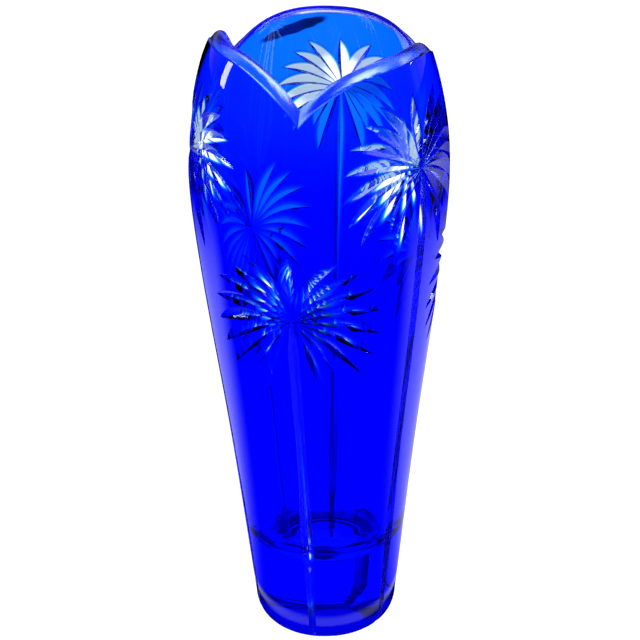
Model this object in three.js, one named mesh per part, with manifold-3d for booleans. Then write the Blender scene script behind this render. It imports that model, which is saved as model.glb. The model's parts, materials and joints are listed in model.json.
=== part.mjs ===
// A cut crystal vase: a thick clear lead-crystal body, cased outside in a thin cobalt-blue
// layer of glass. The rim is cut into three petals. Six palm motifs are ground through the
// blue into the clear: three high ones on the petals and three lower ones near the notches.
// Each palm is a fan of curved V-grooves on one long V-groove that runs down to the heel.
//
// Millimetres, +Z up. The origin is the centre of the foot, and a rim notch faces -Y.

import * as THREE from 'three';
import { mergeVertices } from 'three/addons/utils/BufferGeometryUtils.js';
import Module from 'manifold-3d';

// ---------------------------------------------------------------- driving dimensions

const HEIGHT = 305;              // to the tip of the tallest petal
const FOOT_RADIUS = 26.8;        // outer edge of the flat foot ring
const HEEL_WIDTH = 8.1;          // rounding from the foot up into the side
const HEEL_HEIGHT = 12;
const CASING = 0.8;              // thickness of the cobalt layer
const BOND_GAP = 0.2;            // clearance that stands for the fused bond
const CASING_BOTTOM = 2.4;       // the casing is ground away below this height

// The side's outline above the heel, as [height, radius].
const SIDE = [
  [HEEL_HEIGHT, FOOT_RADIUS + HEEL_WIDTH],
  [24, 36.2],
  [76, 41.7],
  [122, 47.0],
  [168, 52.9],
  [207, 57.3],
  [236, 59.3],
  [262, 58.0],
  [284, 53.8],
  [295, 50.4],
  [301, 47.6],
  [306, 44.6],
];

// Wall thickness from the outer face to the cavity, as [height, thickness].
const WALL = [
  [30, 8.5],
  [90, 7.6],
  [180, 6.6],
  [306, 5.2],
];

const CAVITY_FLOOR = 42;         // height of the cavity's lowest point
const CAVITY_CORNER = 22;        // rounding between the cavity's floor and its side

const RECESS_RADIUS = 21;        // hollow ground into the underside
const RECESS_DEPTH = 1.2;

const PETALS = 3;
const TIPS = [302.5, 300.7, 305];  // heights of the petals' tips, hand-cut and not quite alike
const NOTCH_HEIGHT = 289.5;      // the rim at a notch, at the mouth's radius
const NOTCH_BEVEL = 0.85;        // fall per millimetre outward of the notch's cut face
const TIP_BEVEL = 0.12;          // the same at the petal's tip
const ARCH_POWER = 2.8;          // how soon the petal's edge levels off beside the notch
const MOUTH_RADIUS = 42.6;       // inside edge of a petal's tip, where no bevel counts
const RIM_ROUNDING = 1.5;        // fall from the middle of a petal's rim to its edges

// The palms as [crown's angle, trunk foot's angle, crown's height, size], the angles in degrees
// anticlockwise from the front notch. Low ones stand near the notches and high ones on the
// petals, spaced and sized by eye.
const PALMS = [
  [-5, -2, 187, 1],
  [59, 60, 254, 1],
  [113, 118, 188, 1],
  [177, 182, 256, 0.82],
  [233, 238, 190, 0.95],
  [290, 297, 254, 1],
];

// One side of a full-size palm's fan, as [direction from straight up in degrees, length].
const FAN = [
  [34, 39],
  [51, 40],
  [68, 42],
  [85, 43],
  [102, 44],
  [117, 45],
  [131, 45],
  [144, 33],
  [159, 46],
];
const TOP_LEAF = 34;             // length of the leaf that points straight up
const DROOP = 34;                // turn of a sideways leaf from crown to tip, in degrees
const LEAF_DEPTH = 2.5;
const LEAF_FLANKS = [2.0, 0.8];  // width for each millimetre of depth: upper flank, lower flank
const TRUNK_FLANK = 1.45;
// Depth of a trunk's groove, as [height, depth]. It is deepest low down.
const TRUNK_DEPTHS = [
  [0, 1.9],
  [35, 2.1],
  [62, 2.8],
  [90, 2.2],
  [120, 1.9],
  [306, 1.9],
];

const AROUND = 36;               // facets round the body
const LEAF_STEPS = 2;            // straight stretches along a leaf
const TRUNK_STEPS = 9;
const CLEARANCE = 3;             // how far cutters stand out of what they cut
const SLIVER = 20;               // volume below which an offcut of casing is thrown away

// ---------------------------------------------------------------- outline

// A smooth curve through [x, y] points, evaluated at x.
function smoothCurve(points, x) {
  const last = points.length - 1;
  const slope = (i) => {
    const a = points[Math.max(i - 1, 0)];
    const b = points[Math.min(i + 1, last)];
    return (b[1] - a[1]) / (b[0] - a[0]);
  };
  const inside = THREE.MathUtils.clamp(x, points[0][0], points[last][0]);
  const found = points.findIndex((point, i) => i > 0 && inside <= point[0]);
  const [x0, y0] = points[found - 1];
  const [x1, y1] = points[found];
  const span = x1 - x0;
  const t = (inside - x0) / span;
  const eased = t * t * (3 - 2 * t);
  const bulge = span * t * (1 - t) * ((1 - t) * slope(found - 1) - t * slope(found));
  return y0 + (y1 - y0) * eased + bulge;
}

// Radius of the vase's outer face at a height, heel included.
function outerRadius(height) {
  if (height >= HEEL_HEIGHT) {
    return smoothCurve(SIDE, height);
  }
  const below = 1 - Math.max(height, 0) / HEEL_HEIGHT;
  return FOOT_RADIUS + HEEL_WIDTH * Math.sqrt(1 - below ** 2);
}

function cavityRadius(height) {
  return outerRadius(height) - smoothCurve(WALL, height);
}

// The outer face from one height up to past the rim, set in by an offset.
function sidePoints(bottom, offset) {
  const rows = [1, CASING_BOTTOM, 6, HEEL_HEIGHT, 24, 76, 122, 168, 207];
  const shoulder = [236, 262, 284, 295, 301, HEIGHT + CLEARANCE];
  return [...rows, ...shoulder]
    .filter((height) => height >= bottom)
    .map((height) => new THREE.Vector2(outerRadius(height) - offset, height));
}

// ---------------------------------------------------------------- solids

const wasm = await Module();
wasm.setup();

function toSolid(geometry) {
  geometry.deleteAttribute('normal');
  geometry.deleteAttribute('uv');
  const merged = mergeVertices(geometry, 1e-4);
  return new wasm.Manifold(new wasm.Mesh({
    numProp: 3,
    vertProperties: Float32Array.from(merged.attributes.position.array),
    triVerts: Uint32Array.from(merged.index.array),
  }));
}

function toGeometry(solid) {
  const { vertProperties, triVerts } = solid.getMesh();
  const geometry = new THREE.BufferGeometry();
  geometry.setAttribute('position', new THREE.BufferAttribute(vertProperties, 3));
  geometry.setIndex(new THREE.BufferAttribute(triVerts, 1));
  geometry.computeVertexNormals();
  return geometry;
}

// A turned solid standing on Z. LatheGeometry turns about Y, and starts its facets at -Y here.
function turned(profile, facets) {
  const geometry = new THREE.LatheGeometry(profile, facets);
  geometry.rotateX(Math.PI / 2);
  return geometry;
}

function crystalBlank() {
  const offset = CASING + BOND_GAP;
  const underside = [
    new THREE.Vector2(0, RECESS_DEPTH),
    new THREE.Vector2(RECESS_RADIUS - 2, RECESS_DEPTH),
    new THREE.Vector2(RECESS_RADIUS, 0),
    new THREE.Vector2(FOOT_RADIUS - offset, 0),
  ];
  const cavity = [];
  for (const height of [HEIGHT + CLEARANCE, 301, 292, 270, 240, 190, 120]) {
    cavity.push(new THREE.Vector2(cavityRadius(height), height));
  }
  const cornerTop = CAVITY_FLOOR + CAVITY_CORNER;
  const side = cavityRadius(cornerTop);
  for (const turn of [0, 30, 60, 90]) {
    const angle = THREE.MathUtils.degToRad(turn);
    cavity.push(new THREE.Vector2(
      side - CAVITY_CORNER * (1 - Math.cos(angle)),
      cornerTop - CAVITY_CORNER * Math.sin(angle),
    ));
  }
  cavity.push(new THREE.Vector2(0, CAVITY_FLOOR));
  return toSolid(turned([...underside, ...sidePoints(1, offset), ...cavity], AROUND));
}

function casingBlank() {
  const outside = sidePoints(CASING_BOTTOM, 0);
  const inside = sidePoints(CASING_BOTTOM, CASING).reverse();
  return toSolid(turned([...outside, ...inside, outside[0].clone()], AROUND));
}

// ---------------------------------------------------------------- rim

// Height of the rim's cut face. share runs from 0 at a notch to 1 at the petal's tip.
function rimHeight(tip, share, radius) {
  const cut = (1 - share) ** ARCH_POWER;
  const bevel = TIP_BEVEL + (NOTCH_BEVEL - TIP_BEVEL) * cut;
  const level = tip - (tip - NOTCH_HEIGHT) * cut;
  const halfWall = smoothCurve(WALL, level) / 2;
  const offMiddle = (radius - outerRadius(level) + halfWall) / halfWall;
  const rounding = RIM_ROUNDING * (1 - cut) * Math.min(offMiddle ** 2, 2);
  return level - (radius - MOUTH_RADIUS) * bevel - rounding;
}

// Everything above the rim: a ring whose underside follows the petals.
function rimCutter() {
  const inner = 30;
  const outer = 66;
  const top = HEIGHT + 4 * CLEARANCE;
  const underside = [inner, 40, 42.5, 45, 47.5, 50, outer];
  const profile = [
    ...underside.map((radius) => new THREE.Vector2(radius, 0)),
    new THREE.Vector2(outer, top),
    new THREE.Vector2(inner, top),
    new THREE.Vector2(inner, 0),
  ];
  const facets = PETALS * 22;
  const geometry = turned(profile, facets);
  const half = Math.PI / PETALS;
  const corner = new THREE.Vector3();
  for (let i = 0; i < geometry.attributes.position.count; i += 1) {
    corner.fromBufferAttribute(geometry.attributes.position, i);
    const radius = Math.hypot(corner.x, corner.y);
    const angle = Math.atan2(corner.x, -corner.y);
    const notch = Math.round(angle / (2 * half)) * 2 * half;
    const even = Math.abs(angle - notch) / half;
    const share = even ** 1.35;    // facets crowd towards the notch
    const moved = notch + Math.sign(angle - notch) * share * half;
    corner.x = radius * Math.sin(moved);
    corner.y = -radius * Math.cos(moved);
    if (corner.z < 1) {
      const turns = (moved / (2 * half) + PETALS) % PETALS;
      corner.z = rimHeight(TIPS[Math.floor(turns)], share, radius);
    }
    geometry.attributes.position.setXYZ(i, corner.x, corner.y, corner.z);
  }
  return toSolid(geometry);
}

// ---------------------------------------------------------------- palms

// Where a leaf's line runs, as steps of [across, up] from the crown.
function leafLine(direction, length, steps) {
  const line = [[0, 0]];
  const droop = DROOP * Math.sin(THREE.MathUtils.degToRad(Math.abs(direction)));
  for (let i = 0; i < steps; i += 1) {
    const along = (i + 0.5) / steps - 0.5;
    const heading = THREE.MathUtils.degToRad(direction + Math.sign(direction) * droop * along);
    const [across, up] = line[i];
    const step = length / steps;
    line.push([across + step * Math.sin(heading), up + step * Math.cos(heading)]);
  }
  return line;
}

// A point on the vase, measured from a crown: across and up on the face, and out from it.
function onFace(palm, across, up, out) {
  const height = palm.crown + up;
  const angle = palm.angle + across / outerRadius(palm.crown);
  const radius = outerRadius(height) + out;
  return [radius * Math.sin(angle), -radius * Math.cos(angle), height];
}

// A groove's cutter: a three-sided rod, bent along a line on the face, with its edge inside.
function grooveCutter(palm, line, depths, flanks) {
  const steps = line.length - 1;
  const rod = new THREE.CylinderGeometry(1, 1, 1, 3, steps).toNonIndexed();
  const corner = new THREE.Vector3();
  for (let i = 0; i < rod.attributes.position.count; i += 1) {
    corner.fromBufferAttribute(rod.attributes.position, i);
    const at = Math.round((0.5 - corner.y) * steps);
    const before = line[Math.max(at - 1, 0)];
    const after = line[Math.min(at + 1, steps)];
    const heading = Math.atan2(after[0] - before[0], after[1] - before[1]);
    const side = Math.round(corner.x / Math.sin(Math.PI / 3));   // 0 on the cutting edge
    const flank = side < 0 ? flanks[0] : flanks[1];
    const sideways = side * flank * (depths[at] + CLEARANCE);
    const onAxis = Math.hypot(corner.x, corner.z) < 0.5;
    const out = side === 0 && !onAxis ? -depths[at] : CLEARANCE;
    const placed = onFace(
      palm,
      line[at][0] + sideways * Math.cos(heading),
      line[at][1] - sideways * Math.sin(heading),
      onAxis ? (CLEARANCE - depths[at]) / 2 : out,
    );
    rod.attributes.position.setXYZ(i, ...placed);
  }
  return toSolid(rod);
}

function leafCutter(palm, direction, length) {
  const line = leafLine(direction, length * palm.size, LEAF_STEPS);
  const depths = line.map((_, i) => {
    const along = i / LEAF_STEPS;
    return LEAF_DEPTH * (1.12 * Math.sin(Math.PI * Math.min(along + 0.08, 1)) ** 0.7 - 0.12);
  });
  const flanks = direction < 0 ? [...LEAF_FLANKS].reverse() : LEAF_FLANKS;
  return grooveCutter(palm, line, depths, flanks);
}

function trunkCutter(palm) {
  const bottom = 1 - palm.crown;
  const lean = (palm.foot - palm.angle) * outerRadius(palm.crown);
  const line = [];
  const depths = [];
  for (let i = 0; i <= TRUNK_STEPS; i += 1) {
    const along = i / TRUNK_STEPS;
    const up = bottom * along;
    line.push([lean * along, up]);
    depths.push(smoothCurve(TRUNK_DEPTHS, palm.crown + up) * Math.min(0.35 + 2 * along, 1));
  }
  return grooveCutter(palm, line, depths, [TRUNK_FLANK, TRUNK_FLANK]);
}

function palmCutter(palm) {
  let cutter = trunkCutter(palm).add(leafCutter(palm, 0, TOP_LEAF));
  for (const [direction, length] of FAN) {
    cutter = cutter.add(leafCutter(palm, direction, length));
    cutter = cutter.add(leafCutter(palm, -direction, length));
  }
  return cutter;
}

function allCuts() {
  let cuts = rimCutter();
  for (const [angle, foot, crown, size] of PALMS) {
    cuts = cuts.add(palmCutter({
      angle: THREE.MathUtils.degToRad(angle),
      foot: THREE.MathUtils.degToRad(foot),
      crown,
      size,
    }));
  }
  return cuts;
}

// ---------------------------------------------------------------- assembly

function glassMesh(name, solid, color, opacity) {
  const material = new THREE.MeshStandardMaterial({
    color,
    roughness: 0.03,
    metalness: 0,
    transparent: true,
    opacity,
  });
  const mesh = new THREE.Mesh(toGeometry(solid), material);
  mesh.name = name;
  return mesh;
}

const cuts = allCuts();
const crystal = crystalBlank().subtract(cuts);
const casing = casingBlank().subtract(cuts);
const casingPieces = casing.decompose().filter((piece) => piece.volume() > SLIVER);
const wholeCasing = casingPieces.reduce((sum, piece) => sum.add(piece));

const vase = new THREE.Group();
vase.add(glassMesh('crystal_body', crystal, 0xe8f0f6, 0.35));
vase.add(glassMesh('cobalt_casing', wholeCasing, 0x0a2be0, 0.75));

export default vase;
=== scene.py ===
"""Cut crystal vase: the looks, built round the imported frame.

The vase is two glasses: a clear crystal body inside a thin cobalt casing. Both are turned, then
cut by the same cutters, one for the rim and one for each V-shaped groove of the palms. Where a
groove is deeper than the casing it goes through the blue into the crystal.
"""

import json
import math
from collections import namedtuple

import bpy
import numpy as np
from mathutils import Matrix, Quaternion, Vector

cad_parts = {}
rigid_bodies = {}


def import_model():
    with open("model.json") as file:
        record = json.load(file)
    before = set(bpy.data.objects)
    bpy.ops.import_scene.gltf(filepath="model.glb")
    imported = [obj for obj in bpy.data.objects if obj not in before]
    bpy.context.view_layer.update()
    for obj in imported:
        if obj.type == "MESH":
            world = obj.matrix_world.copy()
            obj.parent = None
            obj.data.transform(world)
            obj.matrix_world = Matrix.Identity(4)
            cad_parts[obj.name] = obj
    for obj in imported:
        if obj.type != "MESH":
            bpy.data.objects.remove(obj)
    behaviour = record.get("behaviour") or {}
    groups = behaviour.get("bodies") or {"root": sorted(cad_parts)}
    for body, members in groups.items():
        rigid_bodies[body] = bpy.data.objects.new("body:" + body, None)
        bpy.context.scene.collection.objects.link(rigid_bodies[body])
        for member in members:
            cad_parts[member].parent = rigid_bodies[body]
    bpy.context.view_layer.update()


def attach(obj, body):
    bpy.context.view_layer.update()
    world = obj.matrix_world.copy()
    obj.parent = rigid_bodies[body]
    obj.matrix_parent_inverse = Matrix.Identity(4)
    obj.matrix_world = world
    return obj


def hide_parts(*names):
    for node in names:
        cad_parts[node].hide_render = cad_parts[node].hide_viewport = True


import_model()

# ------------------------------------------------------------------ dimensions

MM = 0.001                      # the dimensions are in millimetres, and the scene in metres

HEIGHT = 305
FOOT_RADIUS = 26.8
HEEL_WIDTH = 8.1
HEEL_HEIGHT = 12

# The side's outline above the heel, as (height, radius) in millimetres.
SIDE = (
    (HEEL_HEIGHT, FOOT_RADIUS + HEEL_WIDTH),
    (24, 36.2),
    (76, 41.7),
    (122, 47.0),
    (168, 52.9),
    (207, 57.3),
    (236, 59.3),
    (262, 58.0),
    (284, 53.8),
    (295, 50.4),
    (301, 47.6),
    (306, 44.6),
)
# The wall, from the outer face to the cavity, as (height, thickness).
WALL = ((0, 9.0), (30, 8.5), (90, 7.6), (180, 6.6), (306, 5.2))
# The cobalt layer, as (height, thickness).
CASING = ((0, 2.1), (100, 2.1), (150, 2.1), (190, 1.9), (228, 1.1), (260, 0.8), (306, 0.76))
CASING_BOTTOM = 2.4
BOND_GAP = 0.03                 # keeps the two pieces' faces apart

CAVITY_FLOOR = 42
CAVITY_CORNER = 22
RECESS_RADIUS = 21              # hollow ground into the underside
RECESS_DEPTH = 1.2
RECESS_EDGE = 3                 # roughly the width of its curved edge
FOOT_EDGE = 0.4                 # chamfer of the crystal's foot ring
FOOT_INSET = 0.05               # the bare foot lies just inside the outline

PETALS = 3
TIPS = (302.5, 300.7, 305)      # heights of the petals' tips
NOTCH_HEIGHT = 289.5            # the rim at a notch, at the mouth's radius
NOTCH_BEVEL = 0.85              # fall per millimetre outward of the cut face
TIP_BEVEL = 0.12
ARCH_POWER = 2.8
MOUTH_RADIUS = 42.6
RIM_ROUNDING = 1.5              # fall from the middle of a petal's rim to its edges

# The angles are of a palm's crown and of its trunk's foot, in degrees anticlockwise from the front
# notch. Low palms stand near the notches and high ones on the petals.
Palm = namedtuple("Palm", "crown_angle foot_angle height size")
PALMS = (
    Palm(-5, -2, 187, 1),
    Palm(59, 60, 254, 1),
    Palm(113, 118, 188, 1),
    Palm(177, 182, 256, 0.82),
    Palm(233, 238, 190, 0.95),
    Palm(290, 297, 254, 1),
)
# One side of a full-size palm's fan, as (degrees from straight up, length).
FAN = (
    (34, 39),
    (51, 40),
    (68, 42),
    (85, 43),
    (102, 44),
    (117, 45),
    (131, 45),
    (144, 33),
    (159, 46),
)
TOP_LEAF = 34                   # length of the leaf that points straight up
DROOP = 34                      # turn of a sideways leaf from crown to tip, in degrees
LEAF_DEPTH = 2.5
LEAF_FLANKS = (2.0, 0.8)        # width per millimetre of depth: upper flank, lower flank
# Depth of a trunk's groove, as (height, depth).
TRUNK_DEPTHS = ((0, 1.9), (35, 2.1), (62, 2.8), (90, 2.2), (120, 1.9), (306, 1.9))
TRUNK_FLANK = 1.45              # width per millimetre of depth, on either side
TRUNK_BOTTOM = 1                # height at which a trunk ends
TRUNK_START = 0.35              # share of the depth that a trunk has at the crown
TRUNK_RUN_IN = 8                # growth of that share, per length of the trunk
CUTTER_LIFT = 0.5               # how far the grooves' cutters stand out of the face

# How strongly each kind of cut carries the marks that new_object describes.
RIM_MARKS = {"satin": 1}
TRUNK_MARKS = {"ripple": 0.15, "satin": 1}
LEAF_MARKS = {"ripple": 1}

AROUND = 240                    # facets round the turned faces
HEEL_ROWS = 13
SIDE_ROWS = 110
CAVITY_ROWS = 90
CORNER_ROWS = 30
RIM_STEPS = 40                  # facets of the rim from a notch to a tip
RIM_CROWDING = 1.35             # above 1, they crowd towards the notch
RIM_RADII = (30, *np.linspace(38, 52, 29), 66)      # of the rim's cutter, close across the wall
LEAF_STEPS = 20
TRUNK_STEPS = 60
CLEARANCE = 3                   # how far the blanks run past the rim
SHARP_ANGLE = math.radians(35)

RIPPLE_SCALE = 260              # ripples of the cutting wheel, per metre
RIPPLE_HEIGHT = 0.05
SATIN_ROUGHNESS = 0.2
CRYSTAL_TINT = (0.78, 0.9, 1.0)
CRYSTAL_IOR = 1.55
CASING_TINT = (1, 1, 1)         # the blue comes from absorption, not from the surface
CASING_IOR = 1.52
COBALT = (0, 0.66, 0.999, 1)
COBALT_DENSITY = 8000

CAMERA_WHITE = 1.2              # what the camera sees behind the vase
NEUTRAL = (1, 1, 1, 1)
COOL_TINT = (0.76, 0.92, 1.1, 1)        # of the far table and the backdrop, through the glass
FLOOR_SIZE = 12
FLOOR_DROP = 0.0002             # keeps the floor clear of the foot
FAR_TABLE = (1.2, 2.2)          # distances between which the table gives way to the backdrop
TABLE_GLOW = 1.7                # brightness of the table through the glass
WALL_GLOW = 0.75                # the backdrop just above the table's edge
FRONT_SECTOR = (0.7, 0.92)      # cosines from straight ahead, where both grow dim
FRONT_GLOW = 0.25
CEILING = (0.35, 0.55)          # sines of the elevations where the backdrop gives way to it
CEILING_SECTOR = (-0.3, 0.5)    # the ceiling grows dim towards the front
CEILING_GLOW = 0.8
FRONT_CEILING_GLOW = 0.12
PAINTED_DARK_PATCH_PLACE = (-0.182, 0.906, 0)    # painted shade: a dim patch in the table's glow behind the vase, seen only through it
PAINTED_DARK_PATCH_TURN = math.radians(47)
PAINTED_DARK_PATCH_SIZE = (0.069, 0.02, 1)
PAINTED_DARK_PATCH_EDGE = (0.75, 1.0)
PAINTED_DARK_PATCH_GLOW = 0.1

MIRRORED_GLOW = 0.6             # the table behind the vase, in reflections
MIRRORED_REACH = (0.3, 0.55)
MIRRORED_BACK = (-0.02, 0.1)
FOOT_GLOW = 0.6                 # a ring on the table round the foot, in reflections
FOOT_RING_INSIDE = (0.044, 0.047)
FOOT_RING_OUTSIDE = (0.048, 0.052)
MIRRORED_WALL = (0.2, 0.9)      # the backdrop behind the vase, in reflections
MIRRORED_WALL_GLOWS = (0.01, 0.3)
MIRRORED_TOP = (0.1, 0.35)
MIRRORED_TOP_GLOW = 0.02

MIDDLE = HEIGHT * MM / 2        # where the camera and the lights aim
CAMERA_DISTANCE = 0.976
CAMERA_AZIMUTH = math.radians(9.208)
CAMERA_ELEVATION = math.radians(27.5)
CAMERA_ROLL = -0.0159
CAMERA_LENS = 116.06
CAMERA_SHIFT = (-0.0028, 0.0257)


# ------------------------------------------------------------------ outline

def smooth_curve(points):
    """A natural cubic spline through (x, y) points, as a function of an array x."""
    x, y = (np.array(side, float) for side in zip(*points))
    step = np.diff(x)
    rise = np.diff(y) / step
    count = len(x)
    system = np.eye(count)
    bend = np.zeros(count)
    for i in range(1, count - 1):
        system[i, i - 1:i + 2] = step[i - 1], 2 * (step[i - 1] + step[i]), step[i]
        bend[i] = 6 * (rise[i] - rise[i - 1])
    second = np.linalg.solve(system, bend)

    def value(at):
        at = np.clip(np.asarray(at, float), x[0], x[-1])
        i = np.clip(np.searchsorted(x, at) - 1, 0, count - 2)
        left, right = at - x[i], x[i + 1] - at
        cubic = (second[i] * right**3 + second[i + 1] * left**3) / (6 * step[i])
        start = (y[i] / step[i] - second[i] * step[i] / 6) * right
        end = (y[i + 1] / step[i] - second[i + 1] * step[i] / 6) * left
        return cubic + start + end

    return value


side_radius = smooth_curve(SIDE)
wall_thickness = smooth_curve(WALL)
casing_thickness = smooth_curve(CASING)
trunk_depth = smooth_curve(TRUNK_DEPTHS)


def outer_radius(height):
    """Radius of the vase's outer face, heel included."""
    height = np.asarray(height, float)
    below = 1 - np.clip(height, 0, HEEL_HEIGHT) / HEEL_HEIGHT
    heel = FOOT_RADIUS + HEEL_WIDTH * np.sqrt(1 - below**2)
    return np.where(height < HEEL_HEIGHT, heel, side_radius(height))


def cavity_radius(height):
    """Radius of the cavity at a height."""
    return outer_radius(height) - wall_thickness(height)


# ------------------------------------------------------------------ meshes

def new_object(name, points, faces, bonded=0, ripple=0, satin=0):
    """A mesh object from points in millimetres.

    Three numbers mark its faces: bonded where they are fused to the other glass, ripple for the
    cutting wheel's ripples and satin for a softer polish.
    """
    mesh = bpy.data.meshes.new(name)
    mesh.from_pydata((np.asarray(points) * MM).tolist(), [], faces)
    for mark, value in (("bonded", bonded), ("ripple", ripple), ("satin", satin)):
        values = np.broadcast_to(np.asarray(value, np.float32), len(faces))
        mesh.attributes.new(mark, "FLOAT", "FACE").data.foreach_set("value", values)
    piece = bpy.data.objects.new(name, mesh)
    bpy.context.scene.collection.objects.link(piece)
    return piece


def turned(profile):
    """A solid of revolution. The profile is (radius, height, bonded) rows, from the axis or closed.

    bonded is 1 where the face from that row to the next one is fused to the other glass.
    """
    angles = np.arange(AROUND) * 2 * math.pi / AROUND
    points = []
    rings = []
    for radius, height, _ in profile:
        rings.append(len(points))
        if radius == 0:
            points.append((0, 0, height))
        else:
            points += [(radius * math.sin(a), -radius * math.cos(a), height) for a in angles]
    faces = []
    bonded = []
    for row, (radius, _, fused) in enumerate(profile):
        after = (row + 1) % len(profile)
        here, there = rings[row], rings[after]
        if radius == 0 and profile[after][0] == 0:
            continue
        for i in range(AROUND):
            j = (i + 1) % AROUND
            if radius == 0:
                faces.append((here, there + j, there + i))
            elif profile[after][0] == 0:
                faces.append((here + i, here + j, there))
            else:
                faces.append((here + i, here + j, there + j, there + i))
            bonded.append(fused)
    return points, faces, bonded


def side_rows(bottom):
    """Heights up the side from the bottom, close together in the heel."""
    heel = HEEL_HEIGHT * (1 - np.cos(np.linspace(0, math.pi / 2, HEEL_ROWS)))
    body = np.linspace(HEEL_HEIGHT, HEIGHT + CLEARANCE, SIDE_ROWS)[1:]
    rows = np.concatenate([heel, body])
    return np.concatenate([[bottom], rows[rows > bottom + 0.05]])


def crystal_blank():
    """The clear body's profile before it is cut, from the middle of the foot to the cavity."""
    heights = side_rows(FOOT_EDGE)
    bare = heights < CASING_BOTTOM
    thickness = np.where(bare, FOOT_INSET, casing_thickness(heights) + BOND_GAP)
    outside = np.stack([outer_radius(heights) - thickness, heights, ~bare], 1)
    hollow = RECESS_RADIUS - RECESS_EDGE
    foot = [(0, RECESS_DEPTH, 0), (hollow / 2, RECESS_DEPTH, 0)]
    for turn in np.linspace(0, math.pi / 2, 6):
        foot.append((hollow + 2 * math.sin(turn) + turn, RECESS_DEPTH * math.cos(turn), 0))
    foot.append((FOOT_RADIUS - FOOT_EDGE, 0, 0))
    tops = np.linspace(HEIGHT + CLEARANCE, CAVITY_FLOOR + CAVITY_CORNER, CAVITY_ROWS)
    inside = np.stack([cavity_radius(tops), tops, 0 * tops], 1)
    corner = [
        (
            inside[-1][0] - CAVITY_CORNER * (1 - math.cos(turn)),
            CAVITY_FLOOR + CAVITY_CORNER * (1 - math.sin(turn)),
            0,
        )
        for turn in np.linspace(0, math.pi / 2, CORNER_ROWS)[1:]
    ]
    middle = [(0, CAVITY_FLOOR, 0)]
    outside[-1, 2] = 0
    return np.concatenate([foot, outside, inside, corner, middle]).tolist()


def casing_blank():
    """The cobalt layer's profile before it is cut."""
    heights = side_rows(CASING_BOTTOM)
    outside = np.stack([outer_radius(heights), heights, 0 * heights], 1)
    inner_radius = outer_radius(heights) - casing_thickness(heights)
    inside = np.stack([inner_radius, heights, 1 + 0 * heights], 1)[::-1]
    inside[-1, 2] = 0
    return np.concatenate([outside, inside]).tolist()


# ------------------------------------------------------------------ cutters

def rim_height(tip, share, radius):
    """Height of the rim's cut face. share runs from 0 at a notch to 1 at the petal's tip."""
    cut = (1 - share) ** ARCH_POWER
    bevel = TIP_BEVEL + (NOTCH_BEVEL - TIP_BEVEL) * cut
    level = tip - (tip - NOTCH_HEIGHT) * cut
    half_wall = wall_thickness(level) / 2
    off_middle = (radius - outer_radius(level) + half_wall) / half_wall
    rounding = RIM_ROUNDING * (1 - cut) * min(off_middle**2, 2)
    return level - (radius - MOUTH_RADIUS) * bevel - rounding


def rim_cutter():
    """Everything above the rim, as a ring whose underside follows the petals."""
    top = HEIGHT + 4 * CLEARANCE
    shares = np.linspace(0, 1, RIM_STEPS + 1) ** RIM_CROWDING
    half_turn = np.concatenate([shares[:-1], shares[:0:-1]])
    angles = np.concatenate([shares[:-1], 2 - shares[:0:-1]]) * math.pi / PETALS
    points = []
    for petal, tip in enumerate(TIPS):
        start = petal * 2 * math.pi / PETALS
        for share, angle in zip(half_turn, start + angles):
            section = [(radius, rim_height(tip, share, radius)) for radius in RIM_RADII]
            section += [(RIM_RADII[-1], top), (RIM_RADII[0], top)]
            for radius, height in section:
                points.append((radius * math.sin(angle), -radius * math.cos(angle), height))
    corners = len(RIM_RADII) + 2
    faces = []
    for here in range(0, len(points), corners):
        there = (here + corners) % len(points)
        for side in range(corners):
            after = (side + 1) % corners
            faces.append((here + side, there + side, there + after, here + after))
    return points, faces, RIM_MARKS


def leaf_line(direction, length, steps):
    """Points (across, up) along a leaf, and the heading at each, drooping towards its tip."""
    droop = math.radians(DROOP) * math.sin(math.radians(abs(direction)))
    turn = math.copysign(1, direction) if direction else 0
    along = (np.arange(steps) + 0.5) / steps - 0.5
    heading = math.radians(direction) + turn * droop * along
    moves = np.stack([np.sin(heading), np.cos(heading)], 1) * length / steps
    line = np.concatenate([[(0, 0)], np.cumsum(moves, 0)])
    at_points = math.radians(direction) + turn * droop * (np.arange(steps + 1) / steps - 0.5)
    return line, at_points


def on_face(palm, across, up, out):
    """Points measured from a palm's crown: across and up on the outer face, and out from it."""
    height = palm.height + up
    angle = math.radians(palm.crown_angle) + across / outer_radius(palm.height)
    radius = outer_radius(height) + out
    return np.stack([radius * np.sin(angle), -radius * np.cos(angle), height], -1)


def groove(palm, line, heading, depths, flanks, lift):
    """A V-groove's cutter: a bent rod of three-cornered section with one edge in the glass.

    lift is how far it stands out. It differs from leaf to leaf, so that no two tops coincide.
    """
    depths = np.asarray(depths, float)
    across, up = line[:, 0], line[:, 1]
    rows = []
    for side, flank in ((-1, flanks[0]), (0, 0), (1, flanks[1])):
        sideways = side * flank * (depths + lift)
        out = lift if side else -depths
        rows.append(on_face(
            palm,
            across + sideways * np.cos(heading),
            up - sideways * np.sin(heading),
            out,
        ))
    points = np.stack(rows, 1).reshape(-1, 3)
    last = 3 * (len(line) - 1)
    faces = [(0, 1, 2), (last, last + 2, last + 1)]
    for i in range(0, last, 3):
        for side in range(3):
            after = (side + 1) % 3
            faces.append((i + side, i + 3 + side, i + 3 + after, i + after))
    return points, faces


def leaf_cutter(palm, direction, length):
    """The cutter of one leaf, shallow at the crown, deepest halfway and running out at the tip."""
    lift = CUTTER_LIFT + abs(direction + 7) / 600
    line, heading = leaf_line(direction, length * palm.size, LEAF_STEPS)
    along = np.linspace(0, 1, LEAF_STEPS + 1)
    # A fuller, slightly lopsided sine, lifted so that the tip runs out of the face.
    swell = np.sin(math.pi * (0.06 + 0.94 * along) ** 1.15) ** 0.75
    depths = LEAF_DEPTH * (1.1 * swell - 0.1)
    flanks = LEAF_FLANKS[::-1] if direction < 0 else LEAF_FLANKS
    return groove(palm, line, heading, depths, flanks, lift)


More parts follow.
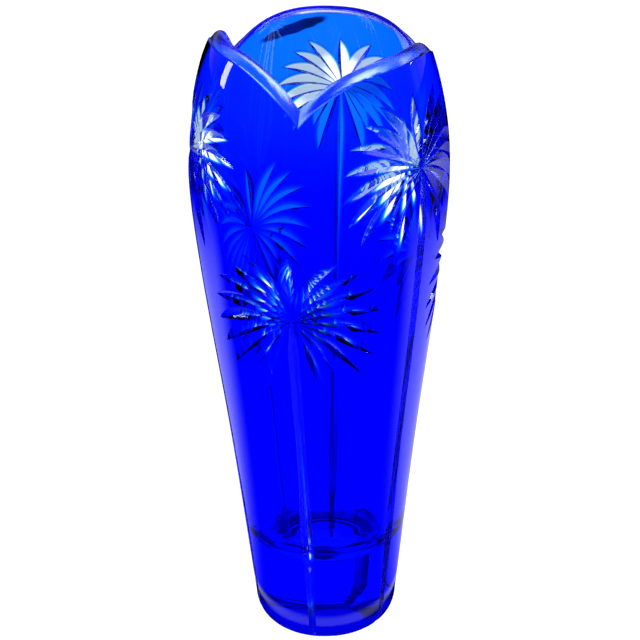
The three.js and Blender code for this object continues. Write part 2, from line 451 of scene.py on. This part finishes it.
def trunk_cutter(palm):
    """The cutter of the trunk, from the crown down to the foot."""
    along = np.linspace(0, 1, TRUNK_STEPS + 1)
    up = (TRUNK_BOTTOM - palm.height) * along
    lean = math.radians(palm.foot_angle - palm.crown_angle) * outer_radius(palm.height)
    line = np.stack([lean * along, up], 1)
    run_in = np.minimum(TRUNK_START + TRUNK_RUN_IN * along, 1)
    depths = trunk_depth(palm.height + up) * run_in
    heading = np.full(len(along), math.atan2(lean, up[-1]))
    return groove(palm, line, heading, depths, (TRUNK_FLANK, TRUNK_FLANK), CUTTER_LIFT)


def palm_cutters():
    """Every groove of every palm, with the marks for its faces."""
    for palm in PALMS:
        yield *trunk_cutter(palm), TRUNK_MARKS
        yield *leaf_cutter(palm, 0, TOP_LEAF), LEAF_MARKS
        for direction, length in FAN:
            yield *leaf_cutter(palm, direction, length), LEAF_MARKS
            yield *leaf_cutter(palm, -direction, length), LEAF_MARKS


# ------------------------------------------------------------------ cutting

def keep_shading(piece, inward):
    """Stores a piece's smooth normals on its corners, so that they survive the cutting."""
    mesh = piece.data
    mesh.shade_smooth()
    mesh.set_sharp_from_angle(angle=SHARP_ANGLE)
    normals = np.empty(3 * len(mesh.loops), np.float32)
    mesh.corner_normals.foreach_get("vector", normals)
    stored = mesh.attributes.new("shading", "FLOAT_VECTOR", "CORNER")
    stored.data.foreach_set("vector", -normals if inward else normals)


def all_cutters():
    """A collection of every cutter: one for the rim and one for each groove."""
    cutters = bpy.data.collections.new("cutters")
    bpy.context.scene.collection.children.link(cutters)
    for points, faces, marks in (rim_cutter(), *palm_cutters()):
        cutter = new_object("cutter", points, faces, **marks)
        keep_shading(cutter, inward=True)
        bpy.context.scene.collection.objects.unlink(cutter)
        cutters.objects.link(cutter)
    return cutters


def cut_glass(piece, cutters):
    """Cuts a turned piece and gives the result the normals that the uncut faces had."""
    keep_shading(piece, inward=False)
    modifier = piece.modifiers.new("cuts", "BOOLEAN")
    modifier.operation = "DIFFERENCE"
    modifier.operand_type = "COLLECTION"
    modifier.collection = cutters
    modifier.solver = "MANIFOLD"
    evaluated = piece.evaluated_get(bpy.context.evaluated_depsgraph_get())
    mesh = bpy.data.meshes.new_from_object(evaluated)
    piece.modifiers.clear()
    piece.data = mesh
    mesh.name = piece.name
    normals = np.empty(3 * len(mesh.loops), np.float32)
    mesh.attributes["shading"].data.foreach_get("vector", normals)
    normals = normals.reshape(-1, 3)
    length = np.linalg.norm(normals, axis=1, keepdims=True)
    mesh.shade_smooth()
    mesh.normals_split_custom_set((normals / np.maximum(length, 1e-9)).tolist())
    mesh.attributes.remove(mesh.attributes["shading"])


cutters = all_cutters()
crystal = new_object("crystal", *turned(crystal_blank()))
casing = new_object("casing", *turned(casing_blank()))
for piece in (crystal, casing):
    cut_glass(piece, cutters)
for cutter in list(cutters.objects):
    bpy.data.objects.remove(cutter)
bpy.data.collections.remove(cutters)

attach(crystal, "root")
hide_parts("crystal_body")
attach(casing, "root")
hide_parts("cobalt_casing")


# ------------------------------------------------------------------ materials

def glass_material(name, tint, ior):
    """Glass with ripples and satin where its faces are marked. Fused ones let light through."""
    material = bpy.data.materials.new(name)
    material.use_nodes = True
    nodes, links = material.node_tree.nodes, material.node_tree.links
    glass = nodes["Principled BSDF"]
    glass.inputs["Base Color"].default_value = (*tint, 1)
    glass.inputs["Transmission Weight"].default_value = 1
    glass.inputs["IOR"].default_value = ior

    place = nodes.new("ShaderNodeTexCoord")
    ripple = nodes.new("ShaderNodeTexNoise")
    ripple.inputs["Scale"].default_value = RIPPLE_SCALE
    ripple.inputs["Detail"].default_value = 1
    links.new(place.outputs["Object"], ripple.inputs["Vector"])
    rippled = nodes.new("ShaderNodeAttribute")
    rippled.attribute_name = "ripple"
    bump = nodes.new("ShaderNodeBump")
    bump.inputs["Distance"].default_value = RIPPLE_HEIGHT * MM
    links.new(ripple.outputs["Fac"], bump.inputs["Height"])
    links.new(rippled.outputs["Fac"], bump.inputs["Strength"])
    links.new(bump.outputs["Normal"], glass.inputs["Normal"])
    satin = nodes.new("ShaderNodeAttribute")
    satin.attribute_name = "satin"
    polish = nodes.new("ShaderNodeMapRange")
    polish.inputs["To Min"].default_value = 0
    polish.inputs["To Max"].default_value = SATIN_ROUGHNESS
    links.new(satin.outputs["Fac"], polish.inputs["Value"])
    links.new(polish.outputs["Result"], glass.inputs["Roughness"])

    bonded = nodes.new("ShaderNodeAttribute")
    bonded.attribute_name = "bonded"
    through = nodes.new("ShaderNodeBsdfTransparent")
    surface = nodes.new("ShaderNodeMixShader")
    links.new(bonded.outputs["Fac"], surface.inputs["Fac"])
    links.new(glass.outputs["BSDF"], surface.inputs[1])
    links.new(through.outputs["BSDF"], surface.inputs[2])
    links.new(surface.outputs["Shader"], nodes["Material Output"].inputs["Surface"])
    return material


clear_crystal = glass_material("clear_crystal", CRYSTAL_TINT, CRYSTAL_IOR)
cobalt_glass = glass_material("cobalt_glass", CASING_TINT, CASING_IOR)
absorption = cobalt_glass.node_tree.nodes.new("ShaderNodeVolumeAbsorption")
absorption.inputs["Color"].default_value = COBALT
absorption.inputs["Density"].default_value = COBALT_DENSITY
cobalt_glass.node_tree.links.new(
    absorption.outputs["Volume"], cobalt_glass.node_tree.nodes["Material Output"].inputs["Volume"]
)
for piece, material in ((crystal, clear_crystal), (casing, cobalt_glass)):
    piece.data.materials.clear()
    piece.data.materials.append(material)


# ------------------------------------------------------------------ studio

class Nodes:
    """Short calls for the maths in a node tree."""

    def __init__(self, owner):
        owner.use_nodes = True
        self.tree = owner.node_tree
        self.path = self.add("ShaderNodeLightPath")

    def add(self, kind):
        return self.tree.nodes.new(kind)

    def link(self, value, socket):
        self.tree.links.new(value, socket)

    def fade(self, value, start, end, low, high):
        """low up to start, high from end on, smooth between. low and high are numbers or sockets."""
        node = self.add("ShaderNodeMapRange")
        node.interpolation_type = "SMOOTHSTEP"
        node.inputs["From Min"].default_value = start
        node.inputs["From Max"].default_value = end
        self.link(value, node.inputs["Value"])
        for amount, name in ((low, "To Min"), (high, "To Max")):
            if isinstance(amount, bpy.types.NodeSocket):
                self.link(amount, node.inputs[name])
            else:
                node.inputs[name].default_value = amount
        return node.outputs["Result"]

    def choose(self, switch, off, on):
        """off where the switch is 0 and on where it is 1."""
        return self.fade(switch, 0, 1, off, on)

    def tinted(self, amount, tint):
        """White where the amount is 0 and the tint where it is 1."""
        mix = self.add("ShaderNodeMix")
        mix.data_type = "RGBA"
        mix.inputs["A"].default_value = NEUTRAL
        mix.inputs["B"].default_value = tint
        self.link(amount, mix.inputs["Factor"])
        return mix.outputs["Result"]

    def length(self, vector):
        node = self.add("ShaderNodeVectorMath")
        node.operation = "LENGTH"
        self.link(vector, node.inputs[0])
        return node.outputs["Value"]

    def direction(self, vector):
        """The y and z of a vector, and how far it points to the front, from -1 to 1."""
        split = self.add("ShaderNodeSeparateXYZ")
        self.link(vector, split.inputs["Vector"])
        flat = self.add("ShaderNodeVectorMath")
        flat.operation = "MULTIPLY"
        flat.inputs[1].default_value = (1, 1, 0)
        self.link(vector, flat.inputs[0])
        unit = self.add("ShaderNodeVectorMath")
        unit.operation = "NORMALIZE"
        self.link(flat.outputs["Vector"], unit.inputs[0])
        front = self.add("ShaderNodeVectorMath")
        front.operation = "DOT_PRODUCT"
        front.inputs[1].default_value = (0, -1, 0)
        self.link(unit.outputs["Vector"], front.inputs[0])
        return split.outputs["Y"], split.outputs["Z"], front.outputs["Value"]


def studio_floor():
    """A pale table that glows like a light table. It is dim in front of the vase, and in
    reflections all but the part close behind the vase and a ring round the foot is dark.
    """
    bpy.ops.mesh.primitive_plane_add(size=FLOOR_SIZE, location=(0, 0, -FLOOR_DROP))
    floor = bpy.context.object
    floor.name = "floor"
    material = bpy.data.materials.new("floor")
    floor.data.materials.append(material)
    nodes = Nodes(material)
    place = nodes.add("ShaderNodeTexCoord").outputs["Object"]
    y, _, front = nodes.direction(place)
    far = nodes.length(place)

    # Painted shade: a dim patch of the glowing table behind the vase, standing in for a dark part of
    # the room. Only rays through the glass see it.
    dark_patch_map = nodes.add("ShaderNodeMapping")
    dark_patch_map.vector_type = "TEXTURE"
    dark_patch_map.inputs["Location"].default_value = PAINTED_DARK_PATCH_PLACE
    dark_patch_map.inputs["Rotation"].default_value = (0, 0, PAINTED_DARK_PATCH_TURN)
    dark_patch_map.inputs["Scale"].default_value = PAINTED_DARK_PATCH_SIZE
    nodes.link(place, dark_patch_map.inputs["Vector"])
    from_dark_patch = nodes.length(dark_patch_map.outputs["Vector"])

    through = nodes.fade(far, *FAR_TABLE, TABLE_GLOW, WALL_GLOW)
    through = nodes.fade(front, *FRONT_SECTOR, through, FRONT_GLOW)
    # painted shade: the glow through the glass is dimmed in that patch
    through = nodes.fade(from_dark_patch, *PAINTED_DARK_PATCH_EDGE, PAINTED_DARK_PATCH_GLOW, through)
    mirrored = nodes.fade(far, *MIRRORED_REACH, MIRRORED_GLOW, 0.0)
    mirrored = nodes.fade(y, *MIRRORED_BACK, 0.0, mirrored)
    ring = nodes.fade(far, *FOOT_RING_INSIDE, 0.0, FOOT_GLOW)
    mirrored = nodes.fade(far, *FOOT_RING_OUTSIDE, ring, mirrored)
    seen = nodes.choose(nodes.path.outputs["Is Reflection Ray"], through, mirrored)
    seen = nodes.choose(nodes.path.outputs["Is Camera Ray"], seen, CAMERA_WHITE)

    cool = nodes.fade(far, *FAR_TABLE, 0.0, 1.0)
    cool = nodes.choose(nodes.path.outputs["Is Camera Ray"], cool, 0.0)
    light = nodes.add("ShaderNodeEmission")
    nodes.link(nodes.tinted(cool, COOL_TINT), light.inputs["Color"])
    nodes.link(seen, light.inputs["Strength"])
    nodes.link(light.outputs["Emission"], nodes.tree.nodes["Material Output"].inputs["Surface"])
    return floor


def studio_world():
    """A pale backdrop and ceiling, both dimmer in front. Reflections see a nearly dark room."""
    world = bpy.data.worlds.new("studio")
    bpy.context.scene.world = world
    nodes = Nodes(world)
    place = nodes.add("ShaderNodeTexCoord").outputs["Generated"]
    y, z, front = nodes.direction(place)

    wall = nodes.fade(front, *FRONT_SECTOR, WALL_GLOW, FRONT_GLOW)
    ceiling = nodes.fade(front, *CEILING_SECTOR, CEILING_GLOW, FRONT_CEILING_GLOW)
    through = nodes.fade(z, *CEILING, wall, ceiling)
    mirrored = nodes.fade(y, *MIRRORED_WALL, *MIRRORED_WALL_GLOWS)
    mirrored = nodes.fade(z, *MIRRORED_TOP, mirrored, MIRRORED_TOP_GLOW)
    seen = nodes.choose(nodes.path.outputs["Is Reflection Ray"], through, mirrored)
    seen = nodes.choose(nodes.path.outputs["Is Camera Ray"], seen, CAMERA_WHITE)

    background = nodes.tree.nodes["Background"]
    tint = nodes.tinted(nodes.path.outputs["Is Transmission Ray"], COOL_TINT)
    nodes.link(tint, background.inputs["Color"])
    nodes.link(seen, background.inputs["Strength"])


def outward(turn, rise):
    """The direction from the vase at an azimuth and an elevation. Azimuth 0 is at -Y, 90 at +X."""
    level = math.cos(rise)
    return Vector((math.sin(turn) * level, -math.cos(turn) * level, math.sin(rise)))


def soft_box(name, azimuth, elevation, distance, size, power):
    """An area light aimed at the middle of the vase, from angles in degrees."""
    light = bpy.data.lights.new(name, "AREA")
    light.shape = "RECTANGLE"
    light.size, light.size_y = size
    light.energy = power
    lamp = bpy.data.objects.new(name, light)
    aim = outward(math.radians(azimuth), math.radians(elevation))
    lamp.location = Vector((0, 0, MIDDLE)) + aim * distance
    lamp.rotation_euler = aim.to_track_quat("Z", "Y").to_euler()
    lamp.visible_camera = False
    lamp.visible_transmission = False
    bpy.context.scene.collection.objects.link(lamp)


studio_floor()
studio_world()
soft_box("key", azimuth=-92, elevation=15, distance=1.6, size=(0.2, 0.5), power=3.5)
soft_box("side", azimuth=118, elevation=25, distance=1.6, size=(0.16, 0.6), power=2.5)


# ------------------------------------------------------------------ camera

camera = bpy.data.objects.new("camera", bpy.data.cameras.new("camera"))
bpy.context.scene.collection.objects.link(camera)
aim = outward(CAMERA_AZIMUTH, CAMERA_ELEVATION)
camera.location = Vector((0, 0, MIDDLE)) + aim * CAMERA_DISTANCE
camera.rotation_mode = "QUATERNION"
camera.rotation_quaternion = aim.to_track_quat("Z", "Y") @ Quaternion((0, 0, 1), CAMERA_ROLL)
camera.data.sensor_width = 36
camera.data.lens = CAMERA_LENS
camera.data.shift_x, camera.data.shift_y = CAMERA_SHIFT
bpy.context.scene.camera = camera

scene = bpy.context.scene
scene.view_settings.view_transform = "Standard"
scene.cycles.max_bounces = 28
scene.cycles.transmission_bounces = 28
scene.cycles.glossy_bounces = 12
scene.cycles.transparent_max_bounces = 48
scene.cycles.caustics_reflective = False
scene.cycles.use_denoising = True
